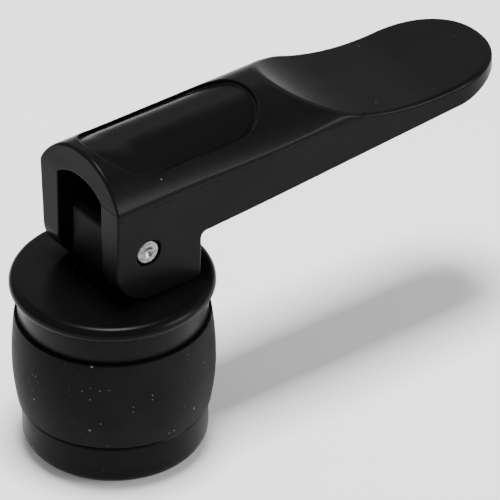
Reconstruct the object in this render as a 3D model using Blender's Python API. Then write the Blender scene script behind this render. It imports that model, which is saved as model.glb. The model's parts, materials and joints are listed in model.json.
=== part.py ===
"""Cam-lever expansion plug.

A lever with two cam ears turns on a steel cross pin. Closed, the cams push the flanged cap down the stem and
squeeze the rubber sleeve against the base, so the sleeve bulges and grips the inside of a tube. Turning the
whole lever round screws the stud into the captive nut and sets the grip.

Units are metres and +Z is up. The origin is the centre of the base's flat underside, the plug's axis is Z and
the closed lever points along +X.
"""

import math

import bmesh
import bpy
from mathutils import Matrix, Vector

# Shared clearances
GAP = 0.0003
OVERSHOOT = 0.002

# Base
BASE_RADIUS = 0.0180
BASE_TOP = 0.0095
BASE_EDGE = 0.0038
SPIGOT_RADIUS = 0.0089
BASE_SPIGOT_TOP = 0.0122
COVER_RADIUS = 0.0107
COVER_THICKNESS = 0.0016

# Rubber sleeve
SLEEVE_LOW = BASE_TOP + GAP
SLEEVE_HIGH = 0.0293
SLEEVE_LOW_RADIUS = 0.0186
SLEEVE_HIGH_RADIUS = 0.0191
SLEEVE_BELLY_RADIUS = 0.0197
SLEEVE_BELLY_Z = 0.0200
SLEEVE_BORE = SPIGOT_RADIUS + GAP
SLEEVE_EDGE = 0.0005

# Cap
FLANGE_RADIUS = 0.0200
LIP_HALF = 0.0017
NECK_RADIUS = 0.01845
CAP_TOP = 0.0384
CAP_BOTTOM = SLEEVE_HIGH + GAP
CAP_SPIGOT_LOW = 0.0240
CAP_SEAL_FLOOR = 0.0285

# Stem, stud and nut
SHANK_RADIUS = 0.0052
SHANK_LOW = 0.0260
EYE_HALF_WIDTH = 0.00535
EYE_HALF_DEPTH = 0.0055
EYE_LOW = 0.0424
EYE_REACH = 0.0057
EYE_CORNER = 0.0024
STUD_RADIUS = 0.0029
STUD_LOW = 0.0022
STUD_HIGH = 0.0390
GROOVE_LOW = 0.0033
GROOVE_HIGH = 0.0046
GROOVE_RADIUS = 0.0022
CROSS_PIN_RADIUS = 0.0008
CROSS_PIN_Z = 0.0330
NUT_ACROSS_FLATS = 0.0100
NUT_LOW = 0.0049
NUT_HIGH = 0.0097

# Cross pin of the lever
PIVOT_Z = 0.0495
PIN_RADIUS = 0.0025
PIN_HALF_LENGTH = 0.0120
BUSH_INNER = PIN_RADIUS + GAP
BUSH_OUTER = 0.0036
DIMPLE_RADIUS = 0.0011
DIMPLE_DEPTH = 0.0006

# Spring and its seats
SEAT_OUTER = 0.0087
SEAT_THICKNESS = 0.0008
SPRING_MEAN_RADIUS = 0.0075
SPRING_WIRE_RADIUS = 0.00075
SPRING_TURNS = 4.5

# Lever
LEVER_HALF_WIDTH = 0.0127
SIDE_DRAFT = 0.044
CAM_CLOSED = PIVOT_Z - CAP_TOP - GAP
CAM_OPEN = 0.0073
CAM_SLOPE = (CAM_CLOSED - CAM_OPEN) / (math.pi / 2)
EAR_REAR = 0.0126
EAR_CHAMFER = 0.0008
UNDERSIDE_REAR_Z = 0.0488
UNDERSIDE_SLOPE = 0.0561
BACK_APEX = 0.0695
BACK_FALL = 0.036
RIDGE_Z = 0.0612
RIDGE_RISE = 0.0055
SCOOP_RADIUS = 0.0572
SCOOP_X = 0.0708
PADDLE_TOP = 0.0568
TIP_HALF_WIDTH = 0.0128
TIP_START = 0.0725
TIP_LENGTH = 0.0161
TIP_POWER = 2.2
SLOT_HALF_WIDTH = 0.0070
SLOT_REAR = 0.0082
SLOT_APEX = 0.0638
RECESS_REAR = 0.0324
RECESS_FRONT = -0.0048
RECESS_HALF_WIDTH = 0.0098
RECESS_DEPTH = 0.0009
POCKET_WALL = 0.0024
POCKET_RIB = 0.0018
POCKET_START = 0.0148
POCKET_LENGTH = 0.0094
POCKET_ROWS = 5
POCKET_CEILING = 0.0615
SKIN = 0.0022

LATHE_STEPS = 48
SMALL_STEPS = 32
PIN_STEPS = 28


def clear_scene():
    for item in list(bpy.data.objects):
        bpy.data.objects.remove(item, do_unlink=True)


# ---------------------------------------------------------------- materials

def make_material(name, color, roughness, metallic=0.0):
    made = bpy.data.materials.new(name)
    made.use_nodes = True
    shader = made.node_tree.nodes["Principled BSDF"]
    shader.inputs["Base Color"].default_value = (*color, 1.0)
    shader.inputs["Roughness"].default_value = roughness
    shader.inputs["Metallic"].default_value = metallic
    made.diffuse_color = (*color, 1.0)
    made.roughness = roughness
    made.metallic = metallic
    return made


# ---------------------------------------------------------------- building blocks

def make_empty(name, location, parent=None):
    empty = bpy.data.objects.new(name, None)
    empty.empty_display_size = 0.01
    bpy.context.scene.collection.objects.link(empty)
    empty.parent = parent
    empty.location = Vector(location) - world_place(parent)
    return empty


def world_place(item):
    """Where an unrotated empty stands, added up over its parents."""
    place = Vector((0.0, 0.0, 0.0))
    while item is not None:
        place += item.location
        item = item.parent
    return place


def finish_mesh(name, mesh_data, parent, material):
    """Turns a bmesh in world coordinates into an object whose origin is its parent empty's."""
    bmesh.ops.recalc_face_normals(mesh_data, faces=mesh_data.faces)
    mesh = bpy.data.meshes.new(name)
    mesh_data.to_mesh(mesh)
    mesh_data.free()
    mesh.transform(Matrix.Translation(-world_place(parent)))
    mesh.shade_smooth()
    mesh.set_sharp_from_angle(angle=math.radians(35))
    made = bpy.data.objects.new(name, mesh)
    bpy.context.scene.collection.objects.link(made)
    made.parent = parent
    if material is not None:
        mesh.materials.append(material)
    return made


def turned_mesh(profile, steps=LATHE_STEPS):
    """Spins (radius, z) points about Z. A profile that starts and ends on the axis is a chain, any other a loop."""
    shape = bmesh.new()
    points = [shape.verts.new((radius, 0.0, z)) for radius, z in profile]
    edges = [shape.edges.new(pair) for pair in zip(points, points[1:])]
    on_axis = profile[0][0] == 0.0 and profile[-1][0] == 0.0
    if not on_axis:
        edges.append(shape.edges.new((points[-1], points[0])))
    bmesh.ops.spin(
        shape,
        geom=points + edges,
        cent=(0.0, 0.0, 0.0),
        axis=(0.0, 0.0, 1.0),
        angle=2 * math.pi,
        steps=steps,
        use_merge=True,
        use_duplicate=False,
    )
    bmesh.ops.remove_doubles(shape, verts=shape.verts, dist=1e-7)
    return shape


def turned(name, profile, parent, material, steps=LATHE_STEPS):
    return finish_mesh(name, turned_mesh(profile, steps), parent, material)


def add_prism(shape, outline, axis, low, high):
    """Adds an extruded outline. The outline's two numbers are the other two axes, in X, Y, Z order."""
    def corner(first, second):
        if axis == "X":
            return (low, first, second)
        if axis == "Y":
            return (first, low, second)
        return (first, second, low)

    points = [shape.verts.new(corner(*pair)) for pair in outline]
    face = shape.faces.new(points)
    made = bmesh.ops.extrude_face_region(shape, geom=[face])
    moved = [item for item in made["geom"] if isinstance(item, bmesh.types.BMVert)]
    step = {"X": (high - low, 0, 0), "Y": (0, high - low, 0), "Z": (0, 0, high - low)}[axis]
    bmesh.ops.translate(shape, verts=moved, vec=step)


def prism(name, outline, axis, low, high, parent, material=None):
    shape = bmesh.new()
    add_prism(shape, outline, axis, low, high)
    return finish_mesh(name, shape, parent, material)


def circle(radius, steps, center=(0.0, 0.0), turn=0.0):
    angles = [turn + 2 * math.pi * index / steps for index in range(steps)]
    return [(center[0] + radius * math.cos(a), center[1] + radius * math.sin(a)) for a in angles]


def arc(center, radius, start, end, steps):
    """Points of an arc, with its angles in degrees."""
    angles = [math.radians(start + (end - start) * index / steps) for index in range(steps + 1)]
    return [(center[0] + radius * math.cos(a), center[1] + radius * math.sin(a)) for a in angles]


def combine(target, helper, operation):
    """Joins, cuts or intersects with a helper, which is then hidden."""
    modifier = target.modifiers.new(helper.name, "BOOLEAN")
    modifier.operation = operation
    modifier.solver = "EXACT"
    modifier.object = helper
    helper.hide_render = True
    helper.display_type = "WIRE"


# ---------------------------------------------------------------- base body

def make_base(parent, plastic, cover_plastic, steel):
    pocket_top = NUT_HIGH + GAP
    stud_hole = STUD_RADIUS + GAP
    cover_recess = COVER_THICKNESS + GAP
    profile = [
        (stud_hole, BASE_SPIGOT_TOP),
        (SPIGOT_RADIUS, BASE_SPIGOT_TOP),
        (SPIGOT_RADIUS, BASE_TOP),
        *arc((BASE_RADIUS - 0.0005, BASE_TOP - 0.0005), 0.0005, 90, 0, 2),
        *arc((BASE_RADIUS - BASE_EDGE, BASE_EDGE), BASE_EDGE, 0, -90, 6),
        (COVER_RADIUS + GAP, 0.0),
        (COVER_RADIUS + GAP, cover_recess),
        (stud_hole, cover_recess),
    ]
    base = turned("base_cup", profile, parent, plastic)
    hex_radius = (NUT_ACROSS_FLATS / 2 + GAP) / math.cos(math.pi / 6)
    pocket = prism("nut_pocket_cutter", circle(hex_radius, 6), "Z", 0.001, pocket_top, parent)
    combine(base, pocket, "DIFFERENCE")

    turned(
        "base_cover",
        [
            (0.0, COVER_THICKNESS),
            (COVER_RADIUS, COVER_THICKNESS),
            (COVER_RADIUS, 0.0004),
            (COVER_RADIUS - 0.0004, 0.0),
            (0.0, 0.0),
        ],
        parent,
        cover_plastic,
    )

    nut = prism(
        "captive_nut",
        circle(NUT_ACROSS_FLATS / 2 / math.cos(math.pi / 6), 6),
        "Z",
        NUT_LOW,
        NUT_HIGH,
        parent,
        steel,
    )
    nut_hole = prism(
        "nut_hole_cutter", circle(stud_hole, PIN_STEPS), "Z", NUT_LOW - OVERSHOOT, NUT_HIGH + OVERSHOOT, parent
    )
    combine(nut, nut_hole, "DIFFERENCE")


def washer_profile(inner, outer, low, high):
    return [(inner, high), (outer, high), (outer, low), (inner, low)]


def make_spring(parent, steel, low, high):
    """A wire on a helix between its two seats. Its ends are closed by caps."""
    steps_per_turn = 12
    sides = 6
    count = int(SPRING_TURNS * steps_per_turn)
    bottom = low + SPRING_WIRE_RADIUS
    rise = high - low - 2 * SPRING_WIRE_RADIUS
    shape = bmesh.new()
    rings = []
    for index in range(count + 1):
        share = index / count
        angle = 2 * math.pi * SPRING_TURNS * share
        out = Vector((math.cos(angle), math.sin(angle), 0.0))
        middle = out * SPRING_MEAN_RADIUS + Vector((0.0, 0.0, bottom + rise * share))
        ring = []
        for side in range(sides):
            turn = 2 * math.pi * side / sides
            offset = out * math.cos(turn) + Vector((0.0, 0.0, math.sin(turn)))
            ring.append(shape.verts.new(middle + offset * SPRING_WIRE_RADIUS))
        rings.append(ring)
    for first, second in zip(rings, rings[1:]):
        for side in range(sides):
            after = (side + 1) % sides
            shape.faces.new((first[side], first[after], second[after], second[side]))
    shape.faces.new(rings[0])
    shape.faces.new(rings[-1])
    return finish_mesh("return_spring", shape, parent, steel)


def sleeve_radius(z):
    """A barrel made of two parabolas that meet at the belly."""
    if z < SLEEVE_BELLY_Z:
        share = (SLEEVE_BELLY_Z - z) / (SLEEVE_BELLY_Z - SLEEVE_LOW)
        return SLEEVE_BELLY_RADIUS - (SLEEVE_BELLY_RADIUS - SLEEVE_LOW_RADIUS) * share**2
    share = (z - SLEEVE_BELLY_Z) / (SLEEVE_HIGH - SLEEVE_BELLY_Z)
    return SLEEVE_BELLY_RADIUS - (SLEEVE_BELLY_RADIUS - SLEEVE_HIGH_RADIUS) * share**2


def make_sleeve(parent, rubber):
    steps = 8
    low = SLEEVE_LOW + SLEEVE_EDGE
    high = SLEEVE_HIGH - SLEEVE_EDGE
    profile = [(SLEEVE_BORE, SLEEVE_HIGH), (SLEEVE_HIGH_RADIUS - SLEEVE_EDGE, SLEEVE_HIGH)]
    for index in range(steps + 1):
        z = high + (low - high) * index / steps
        profile.append((sleeve_radius(z), z))
    profile += [(SLEEVE_LOW_RADIUS - SLEEVE_EDGE, SLEEVE_LOW), (SLEEVE_BORE, SLEEVE_LOW)]
    turned("rubber_sleeve", profile, parent, rubber)


# ---------------------------------------------------------------- cap body

def make_cap(parent, plastic, bush_plastic, seal_rubber, steel):
    lip_middle = FLANGE_RADIUS - LIP_HALF
    bore = 0.0070
    profile = [
        (bore, CAP_TOP),
        (lip_middle, CAP_TOP),
        *arc((lip_middle, CAP_TOP - LIP_HALF), LIP_HALF, 72, -72, 8),
        (NECK_RADIUS, CAP_TOP - 2 * LIP_HALF),
        (NECK_RADIUS, CAP_BOTTOM + 0.0004),
        (NECK_RADIUS - 0.0004, CAP_BOTTOM),
        (SPIGOT_RADIUS, CAP_BOTTOM),
        (SPIGOT_RADIUS, CAP_SPIGOT_LOW),
        (SHANK_RADIUS + 0.0004, CAP_SPIGOT_LOW),
        (SHANK_RADIUS + 0.0004, CAP_SEAL_FLOOR),
        (bore, CAP_SEAL_FLOOR),
    ]
    turned("clamp_cap", profile, parent, plastic)

    bush_low = CAP_SEAL_FLOOR + 0.0023
    turned(
        "cap_bush",
        washer_profile(SHANK_RADIUS + GAP, bore - GAP, bush_low, CAP_TOP - 0.0005),
        parent,
        bush_plastic,
        SMALL_STEPS,
    )

    ring_radius = 0.00065
    ring_middle = ((SHANK_RADIUS + bore) / 2, CAP_SEAL_FLOOR + GAP + ring_radius)
    ring = [point for point in arc(ring_middle, ring_radius, 0, -360, 8)[:-1]]
    turned("shank_o_ring", ring, parent, seal_rubber, SMALL_STEPS)

    turned(
        "spring_washer",
        washer_profile(SHANK_RADIUS + 0.0004, SEAT_OUTER, CAP_SPIGOT_LOW - GAP - SEAT_THICKNESS, CAP_SPIGOT_LOW - GAP),
        parent,
        steel,
        SMALL_STEPS,
    )


# ---------------------------------------------------------------- stem body

def eye_outline():
    """A block with two round corners above the pin."""
    top = PIVOT_Z + EYE_REACH
    side = EYE_HALF_DEPTH - EYE_CORNER
    return [
        (-EYE_HALF_DEPTH, EYE_LOW),
        (EYE_HALF_DEPTH, EYE_LOW),
        *arc((side, top - EYE_CORNER), EYE_CORNER, 0, 90, 8),
        *arc((-side, top - EYE_CORNER), EYE_CORNER, 90, 180, 8),
    ]


def make_stem(parent, forged_steel, steel, bush_bronze, washer_nylon):
    eye = prism("stem_eye", eye_outline(), "Y", -EYE_HALF_WIDTH, EYE_HALF_WIDTH, parent, forged_steel)
    shank_bore = STUD_RADIUS + GAP
    shank_top = EYE_LOW + 0.0010
    shank = turned(
        "stem_shank_shape",
        [
            (0.0, shank_top),
            (SHANK_RADIUS, shank_top),
            (SHANK_RADIUS, SHANK_LOW + 0.0004),
            (SHANK_RADIUS - 0.0004, SHANK_LOW),
            (shank_bore, SHANK_LOW),
            (shank_bore, STUD_HIGH + GAP),
            (0.0, STUD_HIGH + GAP),
        ],
        parent,
        None,
        SMALL_STEPS,
    )
    combine(eye, shank, "UNION")
    eye_bore = prism(
        "eye_bore_cutter",
        circle(BUSH_OUTER + GAP, PIN_STEPS, (0.0, PIVOT_Z)),
        "Y",
        -EYE_HALF_WIDTH - OVERSHOOT,
        EYE_HALF_WIDTH + OVERSHOOT,
        parent,
    )
    combine(eye, eye_bore, "DIFFERENCE")
    cross_hole = prism(
        "cross_hole_cutter",
        circle(CROSS_PIN_RADIUS + GAP, 20, (0.0, CROSS_PIN_Z)),
        "X",
        -SHANK_RADIUS - OVERSHOOT,
        SHANK_RADIUS + OVERSHOOT,
        parent,
    )
    combine(eye, cross_hole, "DIFFERENCE")

    thread_end = 0.0004
    stud = turned(
        "tension_stud",
        [
            (0.0, STUD_HIGH),
            (STUD_RADIUS - thread_end, STUD_HIGH),
            (STUD_RADIUS, STUD_HIGH - thread_end),
            (STUD_RADIUS, GROOVE_HIGH),
            (GROOVE_RADIUS, GROOVE_HIGH),
            (GROOVE_RADIUS, GROOVE_LOW),
            (STUD_RADIUS, GROOVE_LOW),
            (STUD_RADIUS, STUD_LOW + thread_end),
            (STUD_RADIUS - thread_end, STUD_LOW),
            (0.0, STUD_LOW),
        ],
        parent,
        steel,
        PIN_STEPS,
    )
    stud_hole = prism(
        "stud_hole_cutter",
        circle(CROSS_PIN_RADIUS + GAP, 20, (0.0, CROSS_PIN_Z)),
        "X",
        -STUD_RADIUS - OVERSHOOT,
        STUD_RADIUS + OVERSHOOT,
        parent,
    )
    combine(stud, stud_hole, "DIFFERENCE")

    prism(
        "stud_cross_pin",
        circle(CROSS_PIN_RADIUS, 20, (0.0, CROSS_PIN_Z)),
        "X",
        -SHANK_RADIUS + GAP,
        SHANK_RADIUS - GAP,
        parent,
        steel,
    )

    ring_low = GROOVE_LOW + GAP
    ring_high = GROOVE_HIGH - GAP
    turned(
        "stud_end_ring",
        washer_profile(GROOVE_RADIUS + GAP, 0.0045, ring_low, ring_high),
        parent,
        steel,
        PIN_STEPS,
    )
    make_cross_pin(parent, steel, bush_bronze, washer_nylon)


def lay_along_y(shape):
    """Turns a shape made about the Z axis so that it lies on the lever's pin axis."""
    turn = Matrix.Rotation(math.pi / 2, 4, "X")
    bmesh.ops.transform(shape, matrix=Matrix.Translation((0.0, 0.0, PIVOT_Z)) @ turn, verts=shape.verts)


def make_cross_pin(parent, steel, bush_bronze, washer_nylon):
    edge = 0.0003
    half = [
        (0.0, PIN_HALF_LENGTH - DIMPLE_DEPTH),
        (DIMPLE_RADIUS, PIN_HALF_LENGTH),
        (PIN_RADIUS - edge, PIN_HALF_LENGTH),
        (PIN_RADIUS, PIN_HALF_LENGTH - edge),
    ]
    other_half = [(radius, -along) for radius, along in reversed(half)]
    pin = turned_mesh(half + other_half, PIN_STEPS)
    lay_along_y(pin)
    finish_mesh("pivot_pin", pin, parent, steel)

    bush_half = EYE_HALF_WIDTH - 0.00005
    bush = turned_mesh(washer_profile(BUSH_INNER, BUSH_OUTER, -bush_half, bush_half), PIN_STEPS)
    lay_along_y(bush)
    finish_mesh("pin_bush", bush, parent, bush_bronze)

    washer_low = EYE_HALF_WIDTH + GAP
    washer_high = SLOT_HALF_WIDTH - GAP
    for name, low, high in (
        ("side_washer_right", -washer_high, -washer_low),
        ("side_washer_left", washer_low, washer_high),
    ):
        washer = turned_mesh(washer_profile(PIN_RADIUS + GAP, 0.0043, low, high), PIN_STEPS)
        lay_along_y(washer)
        finish_mesh(name, washer, parent, washer_nylon)


# ---------------------------------------------------------------- lever body

def cam_outline(steps):
    """The cam's curve from its closed contact to its open one, about the pin.

    The distance from the pin to the cap falls by the same amount for each degree, so the curve is the envelope
    of a line at that distance.
    """
    points = []
    for index in range(steps + 1):
        angle = math.pi / 2 * index / steps
        reach = CAM_CLOSED - CAM_SLOPE * angle
        x = -reach * math.sin(angle) + CAM_SLOPE * math.cos(angle)
        z = -reach * math.cos(angle) - CAM_SLOPE * math.sin(angle)
        points.append((x, PIVOT_Z + z))
    return points


def scoop_height(x):
    """The paddle's top: an arc that comes down to the level end."""
    if x >= SCOOP_X:
        return PADDLE_TOP
    return PADDLE_TOP + SCOOP_RADIUS - math.sqrt(SCOOP_RADIUS**2 - (SCOOP_X - x) ** 2)


def lever_side_outline():
    above = BACK_APEX + OVERSHOOT
    past_tip = TIP_START + TIP_LENGTH + OVERSHOOT
    rise = PADDLE_TOP + SCOOP_RADIUS - above
    scoop_start = SCOOP_X - math.sqrt(SCOOP_RADIUS**2 - rise**2)
    scoop_steps = 18
    scoop = []
    for index in range(scoop_steps + 1):
        x = scoop_start + (SCOOP_X - scoop_start) * index / scoop_steps
        scoop.append((x, scoop_height(x)))
    underside_end = UNDERSIDE_REAR_Z + UNDERSIDE_SLOPE * (past_tip - EAR_REAR)
    fillet = 0.0010
    ear_low = PIVOT_Z - CAM_CLOSED
    return [
        *cam_outline(14),
        (-CAM_OPEN, above),
        *scoop,
        (past_tip, PADDLE_TOP),
        (past_tip, underside_end),
        (EAR_REAR + fillet, UNDERSIDE_REAR_Z + UNDERSIDE_SLOPE * fillet),
        (EAR_REAR, UNDERSIDE_REAR_Z - fillet),
        (EAR_REAR, ear_low + EAR_CHAMFER),
        (EAR_REAR - EAR_CHAMFER, ear_low),
    ]


def back_section(x, drop):
    """Half the lever's outline across Y at x: the drafted side, then the arched back lowered by drop."""
    along = x + CAM_OPEN
    apex = BACK_APEX - BACK_FALL * along
    ridge = RIDGE_Z + RIDGE_RISE * along
    rise = apex - ridge
    radius = (LEVER_HALF_WIDTH**2 + rise**2) / (2 * rise)
    low = 0.030
    steps = 12
    points = [(LEVER_HALF_WIDTH - SIDE_DRAFT * (ridge - low), low)]
    for index in range(steps + 1):
        y = LEVER_HALF_WIDTH * (1 - index / steps)
        points.append((y, apex - radius + math.sqrt(radius**2 - y**2) - drop))
    return points


def make_back(name, drop, parent):
    """A solid under the arched back, whose crown falls towards the paddle while its ridges rise."""
    shape = bmesh.new()
    sections = 6
    low_x = -0.012
    high_x = 0.092
    rings = []
    for index in range(sections + 1):
        x = low_x + (high_x - low_x) * index / sections
        half = back_section(x, drop)
        outline = half + [(-y, z) for y, z in reversed(half[:-1])]
        rings.append([shape.verts.new((x, y, z)) for y, z in outline])
    count = len(rings[0])
    for first, second in zip(rings, rings[1:]):
        for side in range(count):
            after = (side + 1) % count
            shape.faces.new((first[side], first[after], second[after], second[side]))
    shape.faces.new(rings[0])
    shape.faces.new(rings[-1])
    return finish_mesh(name, shape, parent, None)


def lever_plan_outline():
    """Sides left clear of the drafted walls, and a blunt round tip, which is a superellipse."""
    steps = 24
    clear = LEVER_HALF_WIDTH + OVERSHOOT
    points = [(TIP_START - 0.004, clear), (-0.020, clear), (-0.020, -clear), (TIP_START - 0.004, -clear)]
    for index in range(steps + 1):
        angle = -math.pi / 2 + math.pi * index / steps
        along = abs(math.cos(angle)) ** (2 / TIP_POWER)
        across = math.copysign(abs(math.sin(angle)) ** (2 / TIP_POWER), angle)
        points.append((TIP_START + TIP_LENGTH * along, TIP_HALF_WIDTH * across))
    return points


def slot_outline():
    rise = SLOT_APEX - RIDGE_Z
    radius = (SLOT_HALF_WIDTH**2 + rise**2) / (2 * rise)
    middle = SLOT_APEX - radius
    steps = 12
    points = [(-SLOT_HALF_WIDTH, 0.030), (SLOT_HALF_WIDTH, 0.030)]
    for index in range(steps + 1):
        y = SLOT_HALF_WIDTH - 2 * SLOT_HALF_WIDTH * index / steps
        points.append((y, middle + math.sqrt(radius**2 - y**2)))
    return points


def recess_outline():
    front_middle = (RECESS_FRONT + RECESS_HALF_WIDTH, 0.0)
    rear_middle = (RECESS_REAR - RECESS_HALF_WIDTH, 0.0)
    return [
        *arc(rear_middle, RECESS_HALF_WIDTH, -90, 90, 20),
        *arc(front_middle, RECESS_HALF_WIDTH, 90, 270, 20),
    ]


def make_recess_cutter(parent):
    """The recess is an oval whose floor follows the lever's back."""
    cutter = prism("recess_cutter", recess_outline(), "Z", POCKET_CEILING, BACK_APEX + OVERSHOOT, parent)
    combine(cutter, make_back("recess_floor_cutter", RECESS_DEPTH, parent), "DIFFERENCE")
    return cutter


def make_pocket_cutter(parent):
    """Moulding pockets under the arm, in two columns beside a middle rib."""
    shape = bmesh.new()
    inner = POCKET_RIB / 2
    outer = LEVER_HALF_WIDTH - POCKET_WALL
    for row in range(POCKET_ROWS):
        start = POCKET_START + row * (POCKET_LENGTH + POCKET_RIB)
        end = start + POCKET_LENGTH
        ceiling = min(POCKET_CEILING, scoop_height(end) - SKIN)
        for low, high in ((inner, outer), (-outer, -inner)):
            outline = [(start, low), (end, low), (end, high), (start, high)]
            add_prism(shape, outline, "Z", 0.045, ceiling)
    return finish_mesh("pocket_cutter", shape, parent, None)


def make_lever(parent, plastic):
    wide = LEVER_HALF_WIDTH + OVERSHOOT
    lever = prism("cam_lever", lever_side_outline(), "Y", -wide, wide, parent, plastic)
    back = make_back("lever_back_shape", 0.0, parent)
    plan = prism("lever_plan_shape", lever_plan_outline(), "Z", 0.025, 0.080, parent)
    slot = prism("lever_slot_cutter", slot_outline(), "X", -0.012, SLOT_REAR, parent)
    pin_hole = prism(
        "lever_pin_cutter", circle(PIN_RADIUS + 0.00035, PIN_STEPS, (0.0, PIVOT_Z)), "Y", -wide, wide, parent
    )
    combine(lever, back, "INTERSECT")
    combine(lever, plan, "INTERSECT")
    combine(lever, slot, "DIFFERENCE")
    combine(lever, pin_hole, "DIFFERENCE")
    combine(lever, make_pocket_cutter(parent), "DIFFERENCE")
    combine(lever, make_recess_cutter(parent), "DIFFERENCE")


# ---------------------------------------------------------------- the whole plug

def main():
    clear_scene()
    black_lever = make_material("lever_plastic", (0.016, 0.016, 0.017), 0.38)
    black_cap = make_material("cap_plastic", (0.014, 0.014, 0.015), 0.42)
    black_base = make_material("base_plastic", (0.014, 0.014, 0.015), 0.45)
    cover_plastic = make_material("cover_plastic", (0.02, 0.02, 0.021), 0.55)
    rubber = make_material("sleeve_rubber", (0.012, 0.012, 0.012), 0.70)
    seal_rubber = make_material("seal_rubber", (0.01, 0.01, 0.01), 0.6)
    pin_steel = make_material("pin_steel", (0.62, 0.62, 0.63), 0.32, 1.0)
    plated_steel = make_material("plated_steel", (0.55, 0.55, 0.54), 0.38, 1.0)
    spring_steel = make_material("spring_steel", (0.42, 0.42, 0.43), 0.35, 1.0)
    stem_black = make_material("stem_black", (0.018, 0.018, 0.019), 0.45)
    bush_bronze = make_material("bush_bronze", (0.45, 0.27, 0.12), 0.4, 1.0)
    nylon = make_material("nylon", (0.03, 0.03, 0.032), 0.5)

    plug = make_empty("plug", (0.0, 0.0, 0.0))
    cap_slide = make_empty("cap_slide", (0.0, 0.0, CAP_BOTTOM), plug)
    stem_swivel = make_empty("stem_swivel", (0.0, 0.0, CAP_TOP), plug)
    lever_hinge = make_empty("lever_hinge", (0.0, 0.0, PIVOT_Z), stem_swivel)

    make_base(plug, black_base, cover_plastic, plated_steel)
    seat_low = BASE_SPIGOT_TOP + GAP
    seat_high = seat_low + SEAT_THICKNESS
    seat = washer_profile(STUD_RADIUS + 0.0005, SEAT_OUTER, seat_low, seat_high)
    turned("pressure_washer", seat, plug, plated_steel, SMALL_STEPS)
    upper_seat_low = CAP_SPIGOT_LOW - GAP - SEAT_THICKNESS
    make_spring(plug, spring_steel, seat_high + GAP, upper_seat_low - GAP)
    make_sleeve(plug, rubber)
    make_cap(cap_slide, black_cap, nylon, seal_rubber, plated_steel)
    make_stem(stem_swivel, stem_black, pin_steel, bush_bronze, nylon)
    make_lever(lever_hinge, black_lever)


main()
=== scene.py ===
"""Looks of the cam-lever expansion plug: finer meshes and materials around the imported
frame, light and camera.

Units are metres, +Z is up, and the lever points along +X. The lever and the stem are drawn
as distance fields with rounded unions and intersections, and the field's zero surface
becomes their mesh. The other pieces are turned outlines and a swept helix.
"""

import json
import math

import bmesh
import bpy
import numpy as np
from mathutils import Matrix, Vector


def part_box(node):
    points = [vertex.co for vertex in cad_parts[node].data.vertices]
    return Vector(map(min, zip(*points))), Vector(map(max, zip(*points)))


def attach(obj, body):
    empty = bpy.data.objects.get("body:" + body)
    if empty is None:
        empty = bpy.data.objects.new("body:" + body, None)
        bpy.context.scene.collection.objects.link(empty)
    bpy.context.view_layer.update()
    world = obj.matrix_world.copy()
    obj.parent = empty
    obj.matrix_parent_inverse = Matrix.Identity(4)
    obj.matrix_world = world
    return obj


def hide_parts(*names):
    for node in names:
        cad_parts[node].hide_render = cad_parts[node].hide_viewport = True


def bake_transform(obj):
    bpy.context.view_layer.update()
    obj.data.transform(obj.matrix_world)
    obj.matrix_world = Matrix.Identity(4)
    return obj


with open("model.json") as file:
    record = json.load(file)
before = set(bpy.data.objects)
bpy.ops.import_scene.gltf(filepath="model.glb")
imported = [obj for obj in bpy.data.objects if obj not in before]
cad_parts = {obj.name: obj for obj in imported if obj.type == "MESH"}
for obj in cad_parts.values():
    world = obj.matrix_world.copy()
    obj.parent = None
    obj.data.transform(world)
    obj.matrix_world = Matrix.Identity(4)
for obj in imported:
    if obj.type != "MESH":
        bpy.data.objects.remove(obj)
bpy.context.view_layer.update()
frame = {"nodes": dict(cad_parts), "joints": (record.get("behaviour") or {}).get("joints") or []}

# ---------------------------------------------------------------- places, from the frame

PIVOT_Z = next(joint for joint in frame["joints"] if joint["name"] == "lever_pivot")["pos_m"][2]
CAP_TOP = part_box("clamp_cap")[1].z
SLEEVE_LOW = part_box("rubber_sleeve")[0].z
SLEEVE_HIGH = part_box("rubber_sleeve")[1].z
LEVER_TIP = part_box("cam_lever")[1].x
GAP = 0.0003

# Lever
HALF_WIDTH = 0.0127
SIDE_DRAFT = 0.044
ARM_WIDENING = 0.0003
ARM_WIDENS = (0.006, 0.030)
CAM_OPEN = -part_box("cam_lever")[0].x
CAM_CLOSED = PIVOT_Z - CAP_TOP - GAP
CAM_SLOPE = (CAM_CLOSED - CAM_OPEN) / (math.pi / 2)
CAM_TOUCH = 0.8 * GAP
CAM_STEPS = 25
EAR_REAR = 0.0126
EAR_CORNER = 0.0008
EAR_FILLET = 0.0012
UNDERSIDE_REAR_Z = 0.0488
UNDERSIDE_SLOPE = 0.0561
BACK_APEX = 0.0695
BACK_FALL = 0.036
RIDGE_Z = 0.0612
RIDGE_RISE = 0.0055
FRONT_LEAN = 0.07
HOOD_LOW = RIDGE_Z + 0.0008
HOOD_HIGH = RIDGE_Z + 0.0050
SCOOP_RADIUS = 0.0572
SCOOP_X = 0.0708
PADDLE_TOP = 0.0570
TIP_RISE = 0.02
TIP_HALF_WIDTH = 0.0128
TIP_START = 0.0725
TIP_POWER = 2.2
SLOT_HALF_WIDTH = 0.0070
SLOT_REAR = 0.0082
SLOT_CORNER = 0.0010
SLOT_APEX = 0.0638
RECESS_FRONT = -0.0048
RECESS_REAR = 0.0324
RECESS_HALF_WIDTH = 0.0098
RECESS_CORNER = 0.0090
RECESS_DEPTH = 0.0009
RECESS_LEAST = 0.45
RECESS_FADE = 0.008
POCKET_START = 0.0148
POCKET_LENGTH = 0.0094
POCKET_RIB = 0.0018
POCKET_ROWS = 5
POCKET_WALL = 0.0024
POCKET_CEILING = 0.0615
POCKET_CORNER = 0.0009
POCKET_TOP_CORNER = 0.0008
POCKET_DRAFT = 0.02
POCKET_DRAFT_FROM = 0.050
SKIN = 0.0022
PIN_CLEARANCE = 0.00035

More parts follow.
